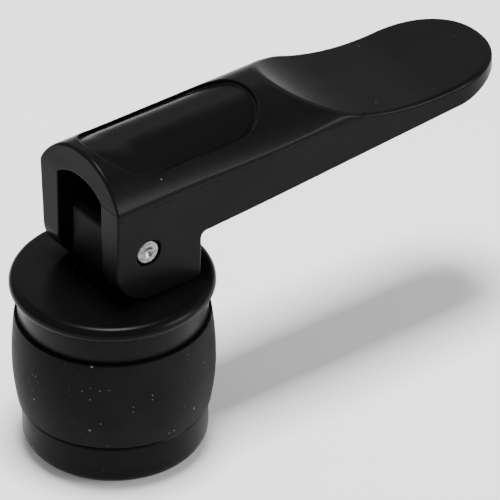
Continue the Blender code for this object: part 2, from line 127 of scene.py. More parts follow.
# The radii of the lever's edges, which grow by an extra along the paddle, the tip and the hood
SCOOP_EDGE = 0.0006
PADDLE_EDGE_GROWS = (0.034, 0.052)
PADDLE_EDGE_EXTRA = 0.0006
UNDERSIDE_EDGE = 0.0004
TIP_EDGE_GROWS = (0.074, 0.086)
TIP_EDGE_EXTRA = 0.0014
HOOD_EDGE_EXTRA = 0.0004

# Stem and pin
EYE_HALF_WIDTH = 0.00535
EYE_HALF_DEPTH = 0.0055
EYE_LOW = 0.0424
EYE_REACH = 0.0057
EYE_CORNER = 0.0024
EYE_SIDE_EDGE = 0.0006
SHANK_RADIUS = 0.0052
SHANK_LOW = 0.0260
SHANK_EDGE = 0.0004
SHANK_OVERLAP = 0.001
STUD_BORE = 0.0032
STUD_TOP = 0.0393
CROSS_HOLE = 0.0011
CROSS_PIN_Z = 0.0330
EYE_BORE = 0.0039
PIN_RADIUS = 0.0025
PIN_HALF_LENGTH = 0.0120

# Cap, sleeve and base
FLANGE_RADIUS = 0.0200
LIP_HALF = 0.0017
NECK_RADIUS = 0.01845
CAP_BORE = 0.0070
CAP_LOW = SLEEVE_HIGH + GAP
CAP_SPIGOT_LOW = 0.0240
CAP_SEAL_FLOOR = 0.0285
SPIGOT_RADIUS = 0.0089
BASE_RADIUS = 0.0180
BASE_TOP = 0.0095
BASE_EDGE = 0.0038
BASE_SPIGOT_TOP = 0.0122
COVER_RADIUS = 0.0107
COVER_THICKNESS = 0.0016
SLEEVE_LOW_RADIUS = 0.0186
SLEEVE_HIGH_RADIUS = 0.0191
SLEEVE_BELLY_RADIUS = 0.0197
SLEEVE_BELLY_Z = 0.0200
SPRING_LOW = 0.0136
SPRING_HIGH = 0.0226
SPRING_MEAN_RADIUS = 0.0075
SPRING_WIRE_RADIUS = 0.00075
SPRING_TURNS = 4.5

EDGE = 0.0003
FINE_EDGE = 0.0002
SOFT_EDGE = 0.0008
GRID_STEP = 0.00028


# ---------------------------------------------------------------- colours and fine marks

LEVER_BLACK = (0.0031, 0.0031, 0.0032)
RECESS_BLACK = (0.0034, 0.0034, 0.0035)
PARTING_BLACK = (0.001, 0.001, 0.001)
PARTING_DROP = 0.0013
CAP_BLACK = (0.0019, 0.0019, 0.0020)
COVER_BLACK = (0.010, 0.010, 0.0105)
NYLON_BLACK = (0.0016, 0.0016, 0.0017)
PLASTIC_DUST = (0.12, 0.12, 0.115)
SLEEVE_BLACK = (0.0042, 0.0042, 0.0042)
SEAL_BLACK = (0.010, 0.010, 0.010)
RUBBER_DUST = (0.20, 0.20, 0.19)
PIN_STEEL = (0.25, 0.25, 0.255)
TURNING_PITCH = 0.00016
ZINC = (0.55, 0.55, 0.54)
SPRING_STEEL = (0.42, 0.42, 0.43)
OXIDE_DARK = (0.0016, 0.0016, 0.0017)
OXIDE_LIGHT = (0.0030, 0.0030, 0.0031)
OXIDE_WORN = (0.03, 0.03, 0.03)
BRONZE_LIGHT = (0.47, 0.29, 0.13)
BRONZE_DARK = (0.33, 0.19, 0.09)
BRONZE_PORE = (0.10, 0.06, 0.03)
# The floor's colours: pale near the object, and a painted shade far from it
FLOOR_NEAR = (0.93, 0.93, 0.93)
FLOOR_PAINTED_SHADE = (0.26, 0.26, 0.26)


# ---------------------------------------------------------------- distance fields

def round_max(first, second, radius):
    """Where both shapes are, with their edge rounded."""
    over = np.sqrt(np.maximum(first + radius, 0) ** 2 + np.maximum(second + radius, 0) ** 2)
    return np.minimum(np.maximum(first, second), -radius) + over


def round_min(first, second, radius):
    """Where either shape is, with a fillet in their corner."""
    return -round_max(-first, -second, radius)


def ramp(value, low, high):
    """0 below low, 1 above high, smooth between them."""
    share = np.clip((value - low) / (high - low), 0, 1)
    return share * share * (3 - 2 * share)


def rounded_slot(x, y, low_x, high_x, half_width, corner):
    """A rectangle in plan with round corners."""
    middle = (low_x + high_x) / 2
    out_x = np.abs(x - middle) - (high_x - low_x) / 2 + corner
    out_y = np.abs(y) - half_width + corner
    outside = np.sqrt(np.maximum(out_x, 0) ** 2 + np.maximum(out_y, 0) ** 2)
    return outside + np.minimum(np.maximum(out_x, out_y), 0) - corner


def lever_back(x, y, z):
    """The arched back, whose crown falls towards the paddle while its ridges rise."""
    along = x + CAM_OPEN
    apex = BACK_APEX - BACK_FALL * along
    ridge = RIDGE_Z + RIDGE_RISE * along
    rise = np.maximum(apex - ridge, 0.001)
    radius = (HALF_WIDTH**2 + rise**2) / (2 * rise)
    return np.sqrt(y**2 + np.maximum(z - apex + radius, 0) ** 2) - radius


def lever_scoop(x, z):
    """Above the paddle: a hollow arc that comes down to the nearly level end."""
    before = np.minimum(x - SCOOP_X, 0)
    rise = TIP_RISE * np.maximum(x - SCOOP_X, 0)
    hollow = SCOOP_RADIUS - np.sqrt(before**2 + (z - rise - PADDLE_TOP - SCOOP_RADIUS) ** 2)
    return np.where(z > PADDLE_TOP + SCOOP_RADIUS / 2, SCOOP_RADIUS / 2, hollow)


def lever_side(x, y, z):
    """The drafted sides and the blunt round tip."""
    ridge = RIDGE_Z + RIDGE_RISE * (x + CAM_OPEN)
    half_width = HALF_WIDTH + ARM_WIDENING * ramp(x, *ARM_WIDENS) - SIDE_DRAFT * (ridge - z)
    drafted = (np.abs(y) - half_width) / math.hypot(1, SIDE_DRAFT)
    along = np.maximum(x - TIP_START, 0) / (LEVER_TIP - TIP_START)
    across = np.abs(y) / TIP_HALF_WIDTH
    total = np.maximum(along**TIP_POWER + across**TIP_POWER, 1e-9)
    level = total ** (1 / TIP_POWER)
    slope_x = (along / level) ** (TIP_POWER - 1) / (LEVER_TIP - TIP_START)
    slope_y = (across / level) ** (TIP_POWER - 1) / TIP_HALF_WIDTH
    tip = (level - 1) / np.sqrt(slope_x**2 + slope_y**2)
    return np.where(x > TIP_START, np.maximum(drafted, tip), drafted)


def cam(x, z):
    """The ears' cam, whose reach from the pin to the cap falls evenly as the lever opens."""
    out = np.full(np.broadcast(x, z).shape, -1.0)
    for angle in np.linspace(0, math.pi / 2, CAM_STEPS):
        reach = CAM_CLOSED - CAM_SLOPE * angle + CAM_TOUCH
        out = np.maximum(out, -x * math.sin(angle) - (z - PIVOT_Z) * math.cos(angle) - reach)
    return out


def lever_underside(x, z):
    """The level arm joined to the ears by a small fillet."""
    arm_z = UNDERSIDE_REAR_Z + UNDERSIDE_SLOPE * (x - EAR_REAR)
    arm = (arm_z - z) / math.hypot(1, UNDERSIDE_SLOPE)
    ear = round_max(cam(x, z), x - EAR_REAR, EAR_CORNER)
    return np.maximum(round_min(ear, arm, EAR_FILLET), -CAM_OPEN - CAM_TOUCH - x)


def lever_slot(x, y, z):
    """The slot for the stem's eye, with an arched roof."""
    rise = SLOT_APEX - RIDGE_Z
    radius = (SLOT_HALF_WIDTH**2 + rise**2) / (2 * rise)
    roof = np.sqrt(y**2 + np.maximum(z - SLOT_APEX + radius, 0) ** 2) - radius
    walls = round_max(np.abs(y) - SLOT_HALF_WIDTH, roof, EDGE)
    return round_max(walls, x - SLOT_REAR, SLOT_CORNER)


def lever_pockets(x, y, z, top):
    """Moulding pockets under the arm, in two columns beside a middle rib."""
    pitch = POCKET_LENGTH + POCKET_RIB
    row = np.clip(np.floor((x - POCKET_START + POCKET_RIB / 2) / pitch), 0, POCKET_ROWS - 1)
    start = POCKET_START + row * pitch
    middle_y = (POCKET_RIB / 2 + HALF_WIDTH - POCKET_WALL) / 2
    half_y = middle_y - POCKET_RIB / 2
    plan = rounded_slot(x - start, np.abs(y) - middle_y, 0.0, POCKET_LENGTH, half_y, POCKET_CORNER)
    ceiling = np.maximum(top + SKIN, z - POCKET_CEILING)
    return round_max(plan + POCKET_DRAFT * (z - POCKET_DRAFT_FROM), ceiling, POCKET_TOP_CORNER)


def lever_recess(x, y, back):
    """The oval recess in the back, shallower at its front right corner."""
    plan = rounded_slot(x, y, RECESS_FRONT, RECESS_REAR, RECESS_HALF_WIDTH, RECESS_CORNER)
    full = ramp(x + 0.5 * y, RECESS_FRONT, RECESS_FRONT + RECESS_FADE)
    depth = RECESS_DEPTH * (RECESS_LEAST + (1 - RECESS_LEAST) * full)
    return round_max(plan, -back - depth, EDGE)


def lever_field(x, y, z):
    """The whole lever. Its edges are sharper at the ears than round the paddle and its tip."""
    back = lever_back(x, y, z)
    side_edge = EDGE + PADDLE_EDGE_EXTRA * ramp(x, *PADDLE_EDGE_GROWS)
    low_edge = UNDERSIDE_EDGE + TIP_EDGE_EXTRA * ramp(x, *TIP_EDGE_GROWS)
    front_edge = EDGE + HOOD_EDGE_EXTRA * ramp(z, HOOD_LOW, HOOD_HIGH)
    top = round_max(back, lever_scoop(x, z), SCOOP_EDGE)
    body = round_max(top, lever_side(x, y, z), side_edge)
    body = round_max(body, lever_underside(x, z), low_edge)
    front = FRONT_LEAN * np.maximum(z - RIDGE_Z, 0) - CAM_OPEN - CAM_TOUCH - x
    body = round_max(body, front, front_edge)
    for hollow in (lever_slot(x, y, z), lever_pockets(x, y, z, top), lever_recess(x, y, back)):
        body = round_max(body, -hollow, EDGE)
    pin_hole = np.sqrt(x**2 + (z - PIVOT_Z) ** 2) - PIN_RADIUS - PIN_CLEARANCE
    return round_max(body, -pin_hole, FINE_EDGE)


def stem_field(x, y, z):
    """The eye block and the round shank, with bores for the bush, the stud and the cross pin."""
    profile = round_max(np.abs(x) - EYE_HALF_DEPTH, z - PIVOT_Z - EYE_REACH, EYE_CORNER)
    profile = round_max(profile, EYE_LOW - z, SOFT_EDGE)
    block = round_max(profile, np.abs(y) - EYE_HALF_WIDTH, EYE_SIDE_EDGE)
    shank = np.sqrt(x**2 + y**2) - SHANK_RADIUS
    shank = round_max(shank, SHANK_LOW - z, SHANK_EDGE)
    shank = round_max(shank, z - EYE_LOW - SHANK_OVERLAP, FINE_EDGE)
    body = round_min(block, shank, EDGE)
    eye_bore = np.sqrt(x**2 + (z - PIVOT_Z) ** 2) - EYE_BORE
    stud_bore = np.maximum(np.sqrt(x**2 + y**2) - STUD_BORE, z - STUD_TOP)
    cross_hole = np.sqrt(y**2 + (z - CROSS_PIN_Z) ** 2) - CROSS_HOLE
    for hole in (eye_bore, stud_bore, cross_hole):
        body = round_max(body, -hole, FINE_EDGE)
    return body


# ---------------------------------------------------------------- meshes from distance fields

def cell_points(field, cells):
    """One point in each cell: the middle of its edges' crossings, in grid steps."""
    total = np.zeros((len(cells), 3))
    count = np.zeros(len(cells))
    for axis in range(3):
        unit = np.eye(3, dtype=int)[axis]
        others = np.delete(np.arange(3), axis)
        for first in (0, 1):
            for second in (0, 1):
                corner = cells.copy()
                corner[:, others[0]] += first
                corner[:, others[1]] += second
                low = field[tuple(corner.T)]
                high = field[tuple((corner + unit).T)]
                crossed = (low < 0) != (high < 0)
                share = low[crossed] / (low[crossed] - high[crossed])
                total[crossed] += corner[crossed] + share[:, None] * unit
                count[crossed] += 1
    return total / count[:, None]


def surface_quads(inside, number):
    """A quad around each grid edge that crosses the surface, facing out."""
    quads = []
    for axis in range(3):
        unit = np.eye(3, dtype=int)
        second, third = unit[(axis + 1) % 3], unit[(axis + 2) % 3]
        low = np.take(inside, range(inside.shape[axis] - 1), axis)
        high = np.take(inside, range(1, inside.shape[axis]), axis)
        edges = np.argwhere(low != high)
        around = (edges - second - third, edges - third, edges, edges - second)
        quad = np.stack([number[tuple(cell.T)] for cell in around], 1)
        going_in = ~low[tuple(edges.T)]
        quad[going_in] = quad[going_in][:, ::-1]
        quads.append(quad)
    return np.concatenate(quads)


def field_slope(field, points, reach=0.00003):
    """The field's slope at each point, from values that far to either side."""
    slope = np.empty_like(points)
    for axis in range(3):
        step = np.zeros(3)
        step[axis] = reach
        ahead = field(*(points + step).T)
        behind = field(*(points - step).T)
        slope[:, axis] = (ahead - behind) / (2 * reach)
    return slope


def settle(field, points, rounds):
    """Moves points onto the surface along the field's slope."""
    for _ in range(rounds):
        slope = field_slope(field, points)
        size = np.maximum((slope**2).sum(1), 0.25)
        points = points - (field(*points.T) / size)[:, None] * slope
    return points


def field_mesh(name, field, low, high, step, keep):
    """A field's zero surface, thinned to a share of its faces, with the field's own normals."""
    margin = 2.5 * step
    low = np.array(low) - margin
    counts = np.ceil((np.array(high) + margin - low) / step).astype(int) + 1
    ticks = [low[i] + step * np.arange(counts[i]) for i in range(3)]
    values = np.broadcast_to(field(*np.meshgrid(*ticks, indexing="ij", sparse=True)), counts)
    inside = values < 0
    corners = np.zeros(counts - 1, int)
    for offset in np.ndindex(2, 2, 2):
        corners += inside[tuple(slice(d, n - 1 + d) for d, n in zip(offset, counts))]
    cells = np.argwhere((corners > 0) & (corners < 8))
    number = np.full(counts - 1, -1)
    number[tuple(cells.T)] = np.arange(len(cells))
    points = settle(field, low + step * cell_points(values, cells), 3)
    mesh = bpy.data.meshes.new(name)
    mesh.from_pydata(points.tolist(), [], surface_quads(inside, number).tolist())
    piece = link_piece(name, mesh)
    if keep < 1:
        thin = piece.modifiers.new("thin", "DECIMATE")
        thin.ratio = keep
        apply_modifiers(piece)
    use_field_normals(piece, field)
    return piece


def use_field_normals(piece, field):
    mesh = piece.data
    points = np.empty(len(mesh.vertices) * 3)
    mesh.vertices.foreach_get("co", points)
    slope = field_slope(field, points.reshape(-1, 3))
    size = np.maximum(np.linalg.norm(slope, axis=1), 1e-9)
    mesh.shade_smooth()
    mesh.normals_split_custom_set_from_vertices((slope / size[:, None]).tolist())


# ---------------------------------------------------------------- other meshes

def link_piece(name, mesh):
    piece = bpy.data.objects.new(name, mesh)
    bpy.context.scene.collection.objects.link(piece)
    return piece


def finished_mesh(name, shape):
    mesh = bpy.data.meshes.new(name)
    shape.to_mesh(mesh)
    shape.free()
    return mesh


def apply_modifiers(piece):
    graph = bpy.context.evaluated_depsgraph_get()
    graph.update()
    made = bpy.data.meshes.new_from_object(piece.evaluated_get(graph))
    piece.modifiers.clear()
    old = piece.data
    piece.data = made
    bpy.data.meshes.remove(old)


def smooth(piece, degrees=38):
    piece.data.shade_smooth()
    piece.data.set_sharp_from_angle(angle=math.radians(degrees))
    return piece


def arc(middle, radius, start, end, steps):
    """Points of an arc in (radius, height), with its angles in degrees."""
    turns = [math.radians(start + (end - start) * index / steps) for index in range(steps + 1)]
    return [(middle[0] + radius * math.cos(a), middle[1] + radius * math.sin(a)) for a in turns]


def turned(name, outline, steps=144, closed=True):
    """Spins a (radius, height) outline about Z."""
    shape = bmesh.new()
    points = [shape.verts.new((radius, 0.0, height)) for radius, height in outline]
    edges = [shape.edges.new(pair) for pair in zip(points, points[1:])]
    if closed:
        edges.append(shape.edges.new((points[-1], points[0])))
    bmesh.ops.spin(
        shape,
        geom=points + edges,
        cent=(0, 0, 0),
        axis=(0, 0, 1),
        angle=2 * math.pi,
        steps=steps,
        use_merge=True,
        use_duplicate=False,
    )
    bmesh.ops.remove_doubles(shape, verts=shape.verts, dist=1e-7)
    bmesh.ops.recalc_face_normals(shape, faces=shape.faces)
    return smooth(link_piece(name, finished_mesh(name, shape)))


def cut(piece, cutter):
    """Takes the cutter's shape out of the piece and removes the cutter."""
    modifier = piece.modifiers.new("cut", "BOOLEAN")
    modifier.operation = "DIFFERENCE"
    modifier.solver = "EXACT"
    modifier.object = cutter
    apply_modifiers(piece)
    bpy.data.objects.remove(cutter, do_unlink=True)


# ---------------------------------------------------------------- shader building

class Shader:
    """A material's node tree, with short calls for the nodes used here."""

    def __init__(self, name, color, roughness, metallic=0.0, specular=0.5):
        self.material = bpy.data.materials.new(name)
        self.material.use_nodes = True
        self.tree = self.material.node_tree
        self.surface = self.tree.nodes["Principled BSDF"]
        self.surface.inputs["Metallic"].default_value = metallic
        self.surface.inputs["Specular IOR Level"].default_value = specular
        self.surface.inputs["Base Color"].default_value = (*color, 1.0)
        self.surface.inputs["Roughness"].default_value = roughness
        self.color = color
        self.place = self.node("ShaderNodeTexCoord").outputs["Object"]

    def node(self, kind, **settings):
        made = self.tree.nodes.new(kind)
        for name, value in settings.items():
            setattr(made, name, value)
        return made

    def feed(self, socket, value):
        if isinstance(value, bpy.types.NodeSocket):
            self.tree.links.new(value, socket)
        else:
            socket.default_value = value

    def math(self, operation, *values, clamp=False):
        made = self.node("ShaderNodeMath", operation=operation, use_clamp=clamp)
        for socket, value in zip(made.inputs, values):
            self.feed(socket, value)
        return made.outputs[0]

    def span(self, value, low, high, to_low=0.0, to_high=1.0):
        made = self.node("ShaderNodeMapRange", interpolation_type="SMOOTHSTEP")
        for socket, item in zip(made.inputs, (value, low, high, to_low, to_high)):
            self.feed(socket, item)
        return made.outputs[0]

    def noise(self, size, detail=3.0, roughness=0.55, stretch=(1, 1, 1)):
        """Noise whose features are about size metres across."""
        made = self.node("ShaderNodeTexNoise")
        self.feed(made.inputs["Vector"], self.stretched(stretch))
        made.inputs["Scale"].default_value = 1 / size
        made.inputs["Detail"].default_value = detail
        made.inputs["Roughness"].default_value = roughness
        return made.outputs["Fac"]

    def stretched(self, stretch):
        if tuple(stretch) == (1, 1, 1):
            return self.place
        made = self.node("ShaderNodeMapping")
        self.feed(made.inputs["Vector"], self.place)
        made.inputs["Scale"].default_value = stretch
        return made.outputs[0]

    def specks(self, spacing, radius, share):
        """1 on small round specks, in about that share of the cells."""
        made = self.node("ShaderNodeTexVoronoi")
        self.feed(made.inputs["Vector"], self.place)
        made.inputs["Scale"].default_value = 1 / spacing
        split = self.node("ShaderNodeSeparateColor")
        self.feed(split.inputs[0], made.outputs["Color"])
        chosen = self.math("LESS_THAN", split.outputs[0], share)
        size = self.math("MULTIPLY", split.outputs[1], radius / spacing)
        near = self.math("LESS_THAN", made.outputs["Distance"], size)
        return self.math("MULTIPLY", chosen, near)

    def axes(self):
        split = self.node("ShaderNodeSeparateXYZ")
        self.feed(split.inputs[0], self.place)
        return split.outputs

    def distance(self, first, second):
        """The length of the arrow with these two legs."""
        squares = [self.math("MULTIPLY", leg, leg) for leg in (first, second)]
        return self.math("SQRT", self.math("ADD", *squares))

    def line(self, value, place, width):
        """1 on a thin line where value is place."""
        off = self.math("ABSOLUTE", self.math("SUBTRACT", value, place))
        return self.span(off, width * 0.4, width, 1.0, 0.0)

    def mix(self, share, first, second):
        made = self.node("ShaderNodeMix", data_type="RGBA")
        self.feed(made.inputs[0], share)
        for socket, value in ((made.inputs[6], first), (made.inputs[7], second)):
            linked = isinstance(value, bpy.types.NodeSocket)
            self.feed(socket, value if linked else (*value, 1.0))
        return made.outputs[2]

    def set_color(self, value):
        self.feed(self.surface.inputs["Base Color"], value)

    def set_roughness(self, value):
        self.feed(self.surface.inputs["Roughness"], value)

    def bump(self, height, depth, before=None):
        """Relief of that depth in metres. Its normal can go under a second relief."""
        made = self.node("ShaderNodeBump")
        made.inputs["Distance"].default_value = depth
        self.feed(made.inputs["Height"], height)
        if before is not None:
            self.feed(made.inputs["Normal"], before)
        self.feed(self.surface.inputs["Normal"], made.outputs[0])
        return made.outputs[0]


def moulded_plastic(name, color, roughness, specular, dust=0.05):
    """Satin black moulding: fine texture, a slightly uneven gloss and a few specks of dust."""
    made = Shader(name, color, roughness, specular=specular)
    broad = made.noise(size=0.011, detail=4)
    fine = made.noise(size=0.00035, detail=2)
    lighter = tuple(c * 1.35 for c in color)
    shade = made.mix(made.span(broad, 0.3, 0.7), color, lighter)
    dots = made.specks(spacing=0.0021, radius=0.00026, share=dust)
    made.set_color(made.mix(made.math("MULTIPLY", dots, 0.35), shade, PLASTIC_DUST))
    uneven = made.math("MULTIPLY_ADD", broad, 0.10, roughness - 0.05)
    made.set_roughness(made.math("MULTIPLY_ADD", fine, 0.04, uneven))
    relief = made.bump(fine, depth=0.000006)
    made.bump(dots, depth=0.00002, before=relief)
    return made


def recess_mask(made, x, y, z):
    """1 on the floor of the lever's recess, whose tool was polished finer."""
    low = RECESS_FRONT + RECESS_HALF_WIDTH
    high = RECESS_REAR - RECESS_HALF_WIDTH
    middle = made.math("MINIMUM", made.math("MAXIMUM", x, low), high)
    off_x = made.math("SUBTRACT", x, middle)
    out = made.distance(off_x, y)
    in_plan = made.span(out, RECESS_HALF_WIDTH - 0.0006, RECESS_HALF_WIDTH - 0.0002, 1.0, 0.0)
    above_pockets = made.math("GREATER_THAN", z, POCKET_CEILING + 0.0008)
    return made.math("MULTIPLY", in_plan, above_pockets)


def lever_plastic():
    """The lever's moulding, with its parting lines round the front end and along the sides."""
    made = moulded_plastic("lever_satin_black", LEVER_BLACK, roughness=0.28, specular=0.046)
    x, y, z = made.axes()
    front = made.math("LESS_THAN", x, -CAM_OPEN + 0.0004)
    front_line = made.math("MULTIPLY", made.line(z, RIDGE_Z, width=0.00016), front)
    parting_z = RIDGE_Z + RIDGE_RISE * CAM_OPEN - PARTING_DROP
    ridge = made.math("MULTIPLY_ADD", x, RIDGE_RISE, parting_z)
    height = made.math("SUBTRACT", z, ridge)
    broken = made.span(made.noise(size=0.006, detail=1), 0.42, 0.52)
    on_side = made.math("GREATER_THAN", made.math("ABSOLUTE", y), HALF_WIDTH - 0.0010)
    where = made.math("MULTIPLY", broken, on_side)
    side_line = made.math("MULTIPLY", made.line(height, 0.0, width=0.00014), where)
    lines = made.math("MAXIMUM", front_line, side_line)
    old = made.surface.inputs["Base Color"].links[0].from_socket
    floor = recess_mask(made, x, y, z)
    old = made.mix(floor, old, RECESS_BLACK)
    gloss = made.surface.inputs["Roughness"].links[0].from_socket
    made.set_roughness(made.math("MULTIPLY_ADD", floor, -0.06, gloss))
    made.set_color(made.mix(lines, old, PARTING_BLACK))
    relief = made.surface.inputs["Normal"].links[0].from_socket
    made.bump(made.math("MULTIPLY", lines, -1.0), depth=0.00008, before=relief)
    return made.material


def rubber(name, color, roughness, dust):
    """Matt rubber: a fine skin, light streaks round the wall and scattered dust."""
    made = Shader(name, color, roughness, specular=0.04)
    broad = made.noise(size=0.007, detail=5)
    skin = made.noise(size=0.00028, detail=3)
    streak = made.noise(size=0.004, detail=4, stretch=(1, 1, 9))
    shade = made.mix(made.span(broad, 0.25, 0.75), color, tuple(c * 1.5 for c in color))
    fine_dust = made.specks(spacing=0.00125, radius=0.00022, share=dust)
    coarse_dust = made.specks(spacing=0.0052, radius=0.00062, share=dust * 0.8)
    dots = made.math("MAXIMUM", made.math("MULTIPLY", fine_dust, 0.55), coarse_dust)
    made.set_color(made.mix(made.math("MULTIPLY", dots, 0.55), shade, RUBBER_DUST))
    made.set_roughness(made.math("MULTIPLY_ADD", streak, 0.16, roughness - 0.08))
    relief = made.bump(skin, depth=0.000012)
    made.bump(dots, depth=0.00004, before=relief)
    return made.material


def turned_steel(name, color, roughness):
    """Bright steel with turning rings about the lever's pivot."""
    made = Shader(name, color, roughness, metallic=1.0)
    x, _, z = made.axes()
    out = made.distance(x, made.math("SUBTRACT", z, PIVOT_Z))
    rings = made.math("SINE", made.math("MULTIPLY", out, 2 * math.pi / TURNING_PITCH))
    patch = made.noise(size=0.0009, detail=4)
    shade = made.mix(made.span(patch, 0.35, 0.7), color, tuple(c * 0.5 for c in color))
    made.set_color(shade)
    made.set_roughness(made.math("MULTIPLY_ADD", patch, 0.18, roughness - 0.08))
    relief = made.bump(rings, depth=0.000003)
    made.bump(patch, depth=0.00001, before=relief)
    return made.material


def plated_steel(name, color, roughness):
    """Zinc plate: a soft mottle and fine grain."""
    made = Shader(name, color, roughness, metallic=1.0)
    mottle = made.noise(size=0.0012, detail=5)
    grain = made.noise(size=0.0002, detail=2)
    made.set_color(made.mix(made.span(mottle, 0.3, 0.7), color, tuple(c * 0.8 for c in color)))
    made.set_roughness(made.math("MULTIPLY_ADD", mottle, 0.2, roughness - 0.1))
    made.bump(grain, depth=0.000004)
    return made.material


def drawn_wire(name, color, roughness):
    """Spring wire: fine marks and a thin film of grease."""
    made = Shader(name, color, roughness, metallic=1.0)
    marks = made.noise(size=0.0006, detail=3, stretch=(1, 1, 5))
    made.set_color(made.mix(made.span(marks, 0.3, 0.75), color, tuple(c * 0.6 for c in color)))
    made.set_roughness(made.math("MULTIPLY_ADD", marks, 0.25, roughness - 0.1))
    made.surface.inputs["Coat Weight"].default_value = 0.25
    made.bump(marks, depth=0.000004)
    return made.material


def blacked_steel():
    """Black oxide on a forged part: a fine pitted skin with slightly worn edges."""
    made = Shader("stem_black_oxide", OXIDE_LIGHT, roughness=0.30, specular=0.03)
    pits = made.noise(size=0.0005, detail=5, roughness=0.65)
    broad = made.noise(size=0.004, detail=3)
    worn = made.span(made.node("ShaderNodeNewGeometry").outputs["Pointiness"], 0.53, 0.62)
    shade = made.mix(made.span(broad, 0.3, 0.7), OXIDE_DARK, OXIDE_LIGHT)
    made.set_color(made.mix(made.math("MULTIPLY", worn, 0.35), shade, OXIDE_WORN))
    made.set_roughness(made.math("MULTIPLY_ADD", pits, 0.2, 0.26))
    made.bump(pits, depth=0.00002)
    return made.material


def bronze():
    """Sintered bronze: open pores and a dull oil film."""
    made = Shader("bush_sintered_bronze", BRONZE_LIGHT, roughness=0.4, metallic=1.0)
    pores = made.specks(spacing=0.00028, radius=0.00016, share=0.5)
    tone = made.noise(size=0.0015, detail=3)
    shade = made.mix(tone, BRONZE_LIGHT, BRONZE_DARK)
    made.set_color(made.mix(pores, shade, BRONZE_PORE))
    made.set_roughness(made.math("MULTIPLY_ADD", tone, 0.2, 0.32))
    made.bump(made.math("MULTIPLY", pores, -1.0), depth=0.00001)
    return made.material


# ---------------------------------------------------------------- pieces

def make_lever():
    low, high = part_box("cam_lever")
    lever = field_mesh("lever_moulding", lever_field, low, high, GRID_STEP, keep=0.45)
    lever.data.materials.append(lever_plastic())
    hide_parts("cam_lever")
    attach(lever, "lever")


def make_stem():
    low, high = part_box("stem_eye")
    stem = field_mesh("stem_forging", stem_field, low, high, GRID_STEP, keep=0.6)
    stem.data.materials.append(blacked_steel())
    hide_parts("stem_eye")
    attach(stem, "stem")


def make_pin():
    """The pin's ends have a chamfer and a centre dimple."""
    end = PIN_HALF_LENGTH
    half = [
        (0.0, end - 0.00075),
        (0.00022, end - 0.0007),
        (0.00105, end - 0.00012),
        *arc((0.0013, end - 0.00025), 0.00025, 120, 90, 3),
        (PIN_RADIUS - 0.00045, end),
        *arc((PIN_RADIUS - 0.0004, end - 0.0004), 0.0004, 90, 0, 5),
    ]
    outline = half + [(radius, -along) for radius, along in reversed(half)]
    pin = turned("turned_pin", outline, steps=96, closed=False)
    pin.data.transform(Matrix.Translation((0, 0, PIVOT_Z)) @ Matrix.Rotation(math.pi / 2, 4, "X"))
    pin.data.materials.append(turned_steel("pin_turned_steel", PIN_STEEL, roughness=0.34))
    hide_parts("pivot_pin")
    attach(pin, "stem")


def make_cap(plastic):
    """The flanged cap: a half-round lip, a plain neck, and a spigot inside the sleeve."""
    lip_middle = FLANGE_RADIUS - LIP_HALF
    lip = arc((lip_middle, CAP_TOP - LIP_HALF), LIP_HALF, 88, -80, 28)
    shank_hole = SHANK_RADIUS + 0.0004
    outline = [
        *arc((CAP_BORE + 0.00015, CAP_TOP - 0.00015), 0.00015, 180, 90, 3),
        *lip,
        *arc((NECK_RADIUS + EDGE, CAP_TOP - 2 * LIP_HALF - 0.00028), EDGE, 120, 180, 4),
        *arc((NECK_RADIUS - 0.0001, CAP_LOW + 0.0001), 0.0001, 0, -90, 2),
        (SPIGOT_RADIUS, CAP_LOW),
        *arc((SPIGOT_RADIUS - EDGE, CAP_SPIGOT_LOW + EDGE), EDGE, 0, -90, 3),
        (shank_hole, CAP_SPIGOT_LOW),
        (shank_hole, CAP_SEAL_FLOOR),
        (CAP_BORE, CAP_SEAL_FLOOR),
    ]
    cap = turned("cap_moulding", outline)
    cap.data.materials.append(plastic)
    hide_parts("clamp_cap")
    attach(cap, "cap")


def make_base(plastic):
    """The cup under the sleeve, with a rounded bottom edge and a hexagonal pocket for the nut."""
    recess = COVER_THICKNESS + GAP
    outline = [
        (STUD_BORE, BASE_SPIGOT_TOP),
        *arc((SPIGOT_RADIUS - EDGE, BASE_SPIGOT_TOP - EDGE), EDGE, 90, 0, 3),
        (SPIGOT_RADIUS, BASE_TOP),
        *arc((BASE_RADIUS - SOFT_EDGE, BASE_TOP - SOFT_EDGE), SOFT_EDGE, 90, 0, 6),
        *arc((BASE_RADIUS - BASE_EDGE, BASE_EDGE), BASE_EDGE, 0, -90, 22),
        *arc((COVER_RADIUS + GAP + EDGE, EDGE), EDGE, 270, 180, 3),
        (COVER_RADIUS + GAP, recess),
        (STUD_BORE, recess),
    ]
    base = turned("base_moulding", outline)
    nut_low, nut_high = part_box("captive_nut")
    corner_radius = max(nut_high.x - nut_low.x, nut_high.y - nut_low.y) / 2
    corner_radius += GAP / math.cos(math.pi / 6)
    turns = [math.pi * i / 3 for i in range(6)]
    corners = [(corner_radius * math.cos(a), corner_radius * math.sin(a)) for a in turns]
    start_z = 0.0010
    shape = bmesh.new()
    bottom = shape.faces.new([shape.verts.new((x, y, start_z)) for x, y in corners])
    pulled = bmesh.ops.extrude_face_region(shape, geom=[bottom])
    moved = [item for item in pulled["geom"] if isinstance(item, bmesh.types.BMVert)]
    bmesh.ops.translate(shape, verts=moved, vec=(0, 0, nut_high.z + GAP - start_z))
    bmesh.ops.recalc_face_normals(shape, faces=shape.faces)
    cut(base, link_piece("nut_pocket_cutter", finished_mesh("nut_pocket_cutter", shape)))
    smooth(base)
    base.data.materials.clear()
    base.data.materials.append(plastic)
    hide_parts("base_cup")
    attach(base, "base")


